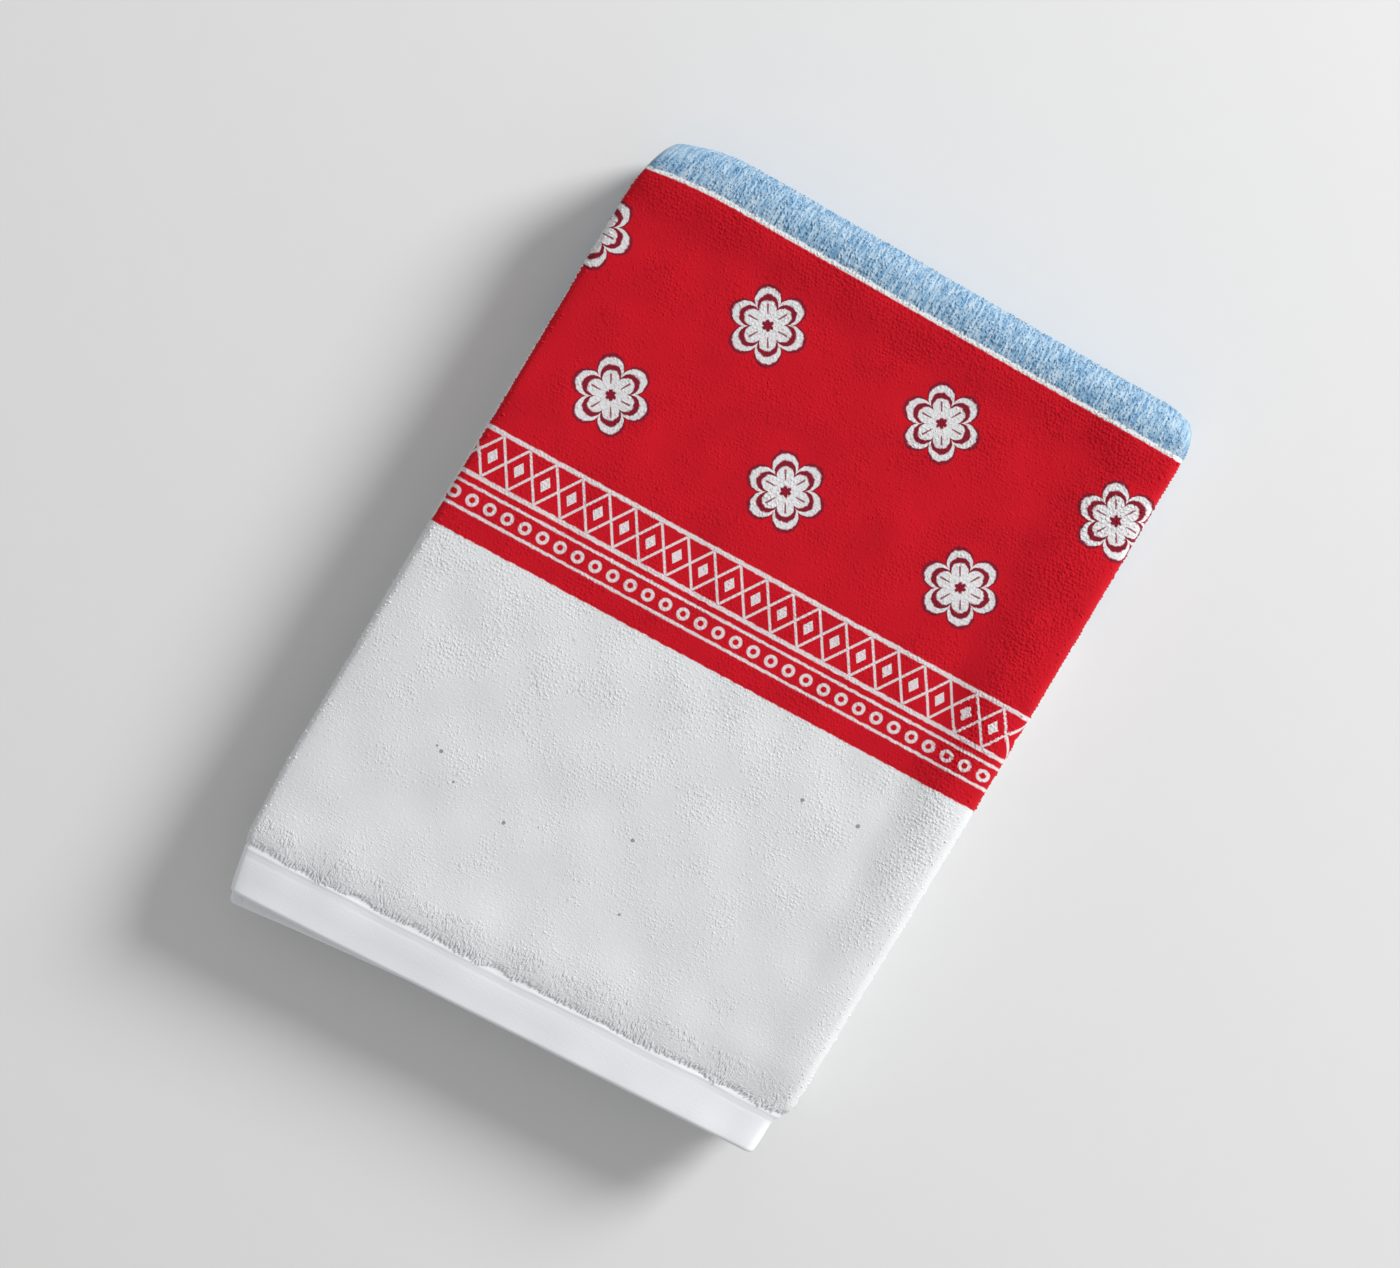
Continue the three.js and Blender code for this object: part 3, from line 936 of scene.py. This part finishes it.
# Bands of the print, in mm along the cloth from the upper hem
printBands = {
    "red": (184, 366),
    "blue": (368, 505),
    "stroke": (0.9, 0.12),        # fineness of the blue's strokes across and along
    "lines": ((194, 195.3), (205, 206.3), (209, 211), (231, 233)),
    "diamonds": (211, 231),
    "dots": (195, 205),
    "dotRing": (1.4, 2.9),        # inner and outer radius
    "diamondWidth": 13.2,
    "diamondLine": (0.9, 1.1),    # from a diamond's middle, as shares of its half width
    "diamondHeart": 0.38,
    "dotWidth": 8.8,
    "flowerFrom": 262,            # across the cloth, the middle of one
    "flowerAcross": 88,
    "flowerRows": (269, 329),
    "flowerRadius": 17,
    "petals": 6,
    "notch": 0.4,                 # depth of the notches between petals, as a share of the radius
    "outline": 1.1,               # these too are shares of the radius
    "outerRing": (0.82, 1.0),
    "petal": (0.16, 0.66),
    "vein": (0.3, 0.58),
    "veinWidth": 0.16,
    "flowerEdge": 0.05,
    "wobble": 0.12,               # of their printed edges
    "edgeWobble": 1.2,            # of the bands' edges
    "flecks": (60, 172),
    "fleckScale": 0.075,          # one place for a fleck in 1 / 0.075 mm
    "fleckChosen": 0.55,          # the share of these places that stay bare
}

terry = {
    "roughness": 0.92,
    "sheen": 0.06,
    "specular": 0.12,
    "sheenRoughness": 0.45,
    "bump": 0.088 * mm,
    "hemEdge": (22.5, 2),         # the weave gives way to pile here, in mm from the hem's edge, this softly
    "hemSmoother": 0.12,          # the hem's roughness is lower by this much
    "fuzz": 0.7,                  # shares of the pile's relief
    "loops": 0.4,
    "stripes": 0.5,               # and of the hem's
}


def flowerShape(shader, across, along, centreAcross, centreAlong):
    # distance from the flower's middle as a share of its outline, and the angle round it
    repeat = printBands["flowerAcross"]
    x = (across - centreAcross + repeat / 2) % repeat - repeat / 2
    y = along - centreAlong
    radius = (x * x + y * y) ** 0.5
    angle = y.math("ARCTAN2", x)
    petal = abs((angle * (printBands["petals"] / 2)).cos()) ** 0.6
    outlineRadius = printBands["flowerRadius"] * (1 - printBands["notch"] * (1 - petal))
    return radius / outlineRadius, angle


def printColour(shader, across, along, hemMask):
    soft = dye["soft"]
    place = shader.vector(across, along)
    wobble = (shader.noise(place, 0.35, 2) - 0.5) * printBands["edgeWobble"]
    edge = along + wobble
    patchy = shader.noise(place, 0.05, 3)
    red = shader.mix(patchy.rising(0.5, 0.5), dye["darkRed"], dye["red"])

    lowFlowers, highFlowers = printBands["flowerRows"]
    first, apart = printBands["flowerFrom"], printBands["flowerAcross"]
    lower, lowerAngle = flowerShape(shader, across, along, first, lowFlowers)
    upper, upperAngle = flowerShape(shader, across, along, first + apart / 2, highFlowers)
    inUpper = along > (lowFlowers + highFlowers) / 2
    ring = lower + (upper - lower) * inUpper + (shader.noise(place, 0.45, 2) - 0.5) * printBands["wobble"]
    angle = lowerAngle + (upperAngle - lowerAngle) * inUpper
    sharp = printBands["flowerEdge"]
    outlined = ring.between(0.0, printBands["outline"], 0.04)
    petals = ring.between(*printBands["outerRing"], sharp).most(ring.between(*printBands["petal"], sharp))
    veins = (angle * (printBands["petals"] / 2)).sin()
    vein = (abs(veins) < printBands["veinWidth"]) * ring.between(*printBands["vein"], sharp)
    red = shader.mix(outlined * 0.85, red, dye["maroon"])
    worn = 0.78 + 0.22 * shader.noise(place, 0.8, 2).rising(0.45, 0.3)
    red = shader.mix(petals * (1 - vein * 0.85) * worn, red, dye["white"])

    lines = None
    for low, high in printBands["lines"]:
        line = edge.between(low, high, soft)
        lines = line if lines is None else lines.most(line)
    low, high = printBands["diamonds"]
    half = printBands["diamondWidth"] / 2
    saw = abs(across % printBands["diamondWidth"] - half) / half
    level = abs(along - (low + high) / 2) / ((high - low) / 2)
    diamond = saw + level
    heart = diamond < printBands["diamondHeart"]
    lattice = diamond.between(*printBands["diamondLine"], 0.08).most(heart) * along.between(low, high, soft)
    low, high = printBands["dots"]
    dotX = across % printBands["dotWidth"] - printBands["dotWidth"] / 2
    dotY = along - (low + high) / 2
    dot = ((dotX * dotX + dotY * dotY) ** 0.5).between(*printBands["dotRing"], 0.6)
    dot = dot * along.between(low, high, soft)
    white = lines.most(lattice).most(dot)
    white = white * (0.72 + 0.28 * shader.noise(place, 0.9, 1))
    red = shader.mix(white, red, dye["white"])

    fineAcross, fineAlong = printBands["stroke"]
    strokes = shader.noise(shader.vector(across * fineAcross, along * fineAlong), 1.0, 3)
    blue = shader.mix(strokes.rising(0.5, 0.35), dye["blue"], dye["paleBlue"])

    scale = printBands["fleckScale"]
    fleck = shader.add("ShaderNodeTexVoronoi", {}, {"Vector": place, "Scale": scale})
    chosen = Number(shader, shader.add("ShaderNodeSeparateColor", {}, {0: fleck.outputs["Color"]}).outputs[0])
    near = Number(shader, fleck.outputs["Distance"])
    fleckMask = (near < chosen * scale) * (chosen > printBands["fleckChosen"])
    fleckMask = fleckMask * edge.between(*printBands["flecks"], 1)
    printed = across < plainFrom * 1000
    plain = shader.mix(hemMask, dye["white"], dye["hem"])
    colour = shader.mix(fleckMask * printed * 0.75, plain, dye["grey"])
    low, high = printBands["blue"]
    colour = shader.mix(edge.between(low, high, soft) * printed, colour, blue)
    low, high = printBands["red"]
    return shader.mix(edge.between(low, high, soft) * printed, colour, red)


def terryMaterial(name):
    shader = Shader(name)
    across, along = shader.clothPlace()
    fromHem = along.least(cloth["length"] * 1000 - along)
    hemMask = 1 - fromHem.rising(*terry["hemEdge"])
    colour = printColour(shader, across, along, hemMask)
    place = shader.vector(across, along)
    loopPlace = shader.vector(across / (pile["column"] * 1000), along / (pile["row"] * 1000))
    loops = shader.add("ShaderNodeTexVoronoi", {}, {"Vector": loopPlace, "Scale": 1.0, "Randomness": 0.7})
    top = 1 - Number(shader, loops.outputs["Distance"])
    fuzz = shader.noise(place, 1.4, 2, 0.6)
    # the specks are raised in the bump, and are also left lighter in colour below, as painted highlights of
    # loops that catch the light
    curls = shader.noise(shader.vector(across * 0.6, along * 1.2), 1.0, 2, 0.6).rising(0.6, 0.16)
    patches = 0.25 + 0.75 * shader.noise(place, 0.035, 3).rising(0.5, 0.2)
    specks = curls * patches
    streaks = shader.noise(shader.vector(across * 0.3, along * 1.3), 1.0, 2)
    weave = (across * 7.2).sin() * (along * 6.1).sin() * 0.1 + fuzz * 0.2 + streaks * terry["stripes"]
    height = (fuzz * terry["fuzz"] + top * terry["loops"] + specks) * (1 - hemMask) + hemMask * weave
    # painted shade between the loops, with their tops and the specks left lighter as painted highlights; the
    # clouds added next are tone that differs at random
    paintedShade = 1 - dye["paintedShade"] * (1 - hemMask) * (1 - specks) * (1 - top * fuzz * 0.6)
    paintedShade = paintedShade + dye["clouds"] * (shader.noise(place, 0.07, 3) - 0.5) * (1 - hemMask)
    colour = shader.mix(paintedShade, (0, 0, 0), colour)
    roughness = terry["roughness"] - terry["hemSmoother"] * hemMask + (fuzz - 0.5) * 0.1
    return shader.finish(colour, roughness, height, terry["bump"], {
        "Sheen Weight": terry["sheen"], "Sheen Roughness": terry["sheenRoughness"],
        "Specular IOR Level": terry["specular"],
    })


# The floor and the light

studio = {
    "floorSize": 30,
    "floor": (0.8, 0.8, 0.8),
    "floorGrain": 0.985,                # its grain is darker by this factor
    "floorRoughness": 0.75,
    "floorBump": 0.02 * mm,
    "world": 0.42,
    "keyPower": 186,
    "keySize": 1.5,
    "keyDistance": 4,
    "keyElevation": math.radians(25.5),
    "keyHeading": math.radians(56.8),   # from +X towards +Y
}


def makeFloor():
    deselect()
    bpy.ops.mesh.primitive_plane_add(size=studio["floorSize"])
    floor = bpy.context.object
    floor.name = "floor"
    shader = Shader("floor")
    place = shader.add("ShaderNodeTexCoord", {}, {}).outputs["Object"]
    grain = shader.noise(place, 60.0, 2)
    darker = tuple(studio["floorGrain"] * part for part in studio["floor"])
    colour = shader.mix(grain, studio["floor"], darker)
    floor.data.materials.append(
        shader.finish(colour, studio["floorRoughness"], grain, studio["floorBump"], {}))
    return floor


def addLight():
    world = bpy.data.worlds.new("world")
    bpy.context.scene.world = world
    world.use_nodes = True
    world.node_tree.nodes["Background"].inputs["Color"].default_value = (1, 1, 1, 1)
    world.node_tree.nodes["Background"].inputs["Strength"].default_value = studio["world"]
    data = bpy.data.lights.new("key", "AREA")
    data.shape = "DISK"
    data.energy = studio["keyPower"]
    data.size = studio["keySize"]
    key = bpy.data.objects.new("key", data)
    bpy.context.collection.objects.link(key)
    up, heading = studio["keyElevation"], studio["keyHeading"]
    away = Vector((math.cos(up) * math.cos(heading), math.cos(up) * math.sin(heading), math.sin(up)))
    key.location = away * studio["keyDistance"]
    key.rotation_euler = away.to_track_quat("Z", "Y").to_euler()
    bpy.context.scene.view_settings.view_transform = "Standard"


addCamera()
towel = makeTowel()
extras = [makeTopPile(), makeFoldPile(), makeTufts(), makeStitches()]

terryCloth = terryMaterial("terry cloth")
for piece in [towel, *extras]:
    piece.data.materials.clear()
    piece.data.materials.append(terryCloth)
    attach(piece, "root")
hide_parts("towel")

floor = makeFloor()
addLight()
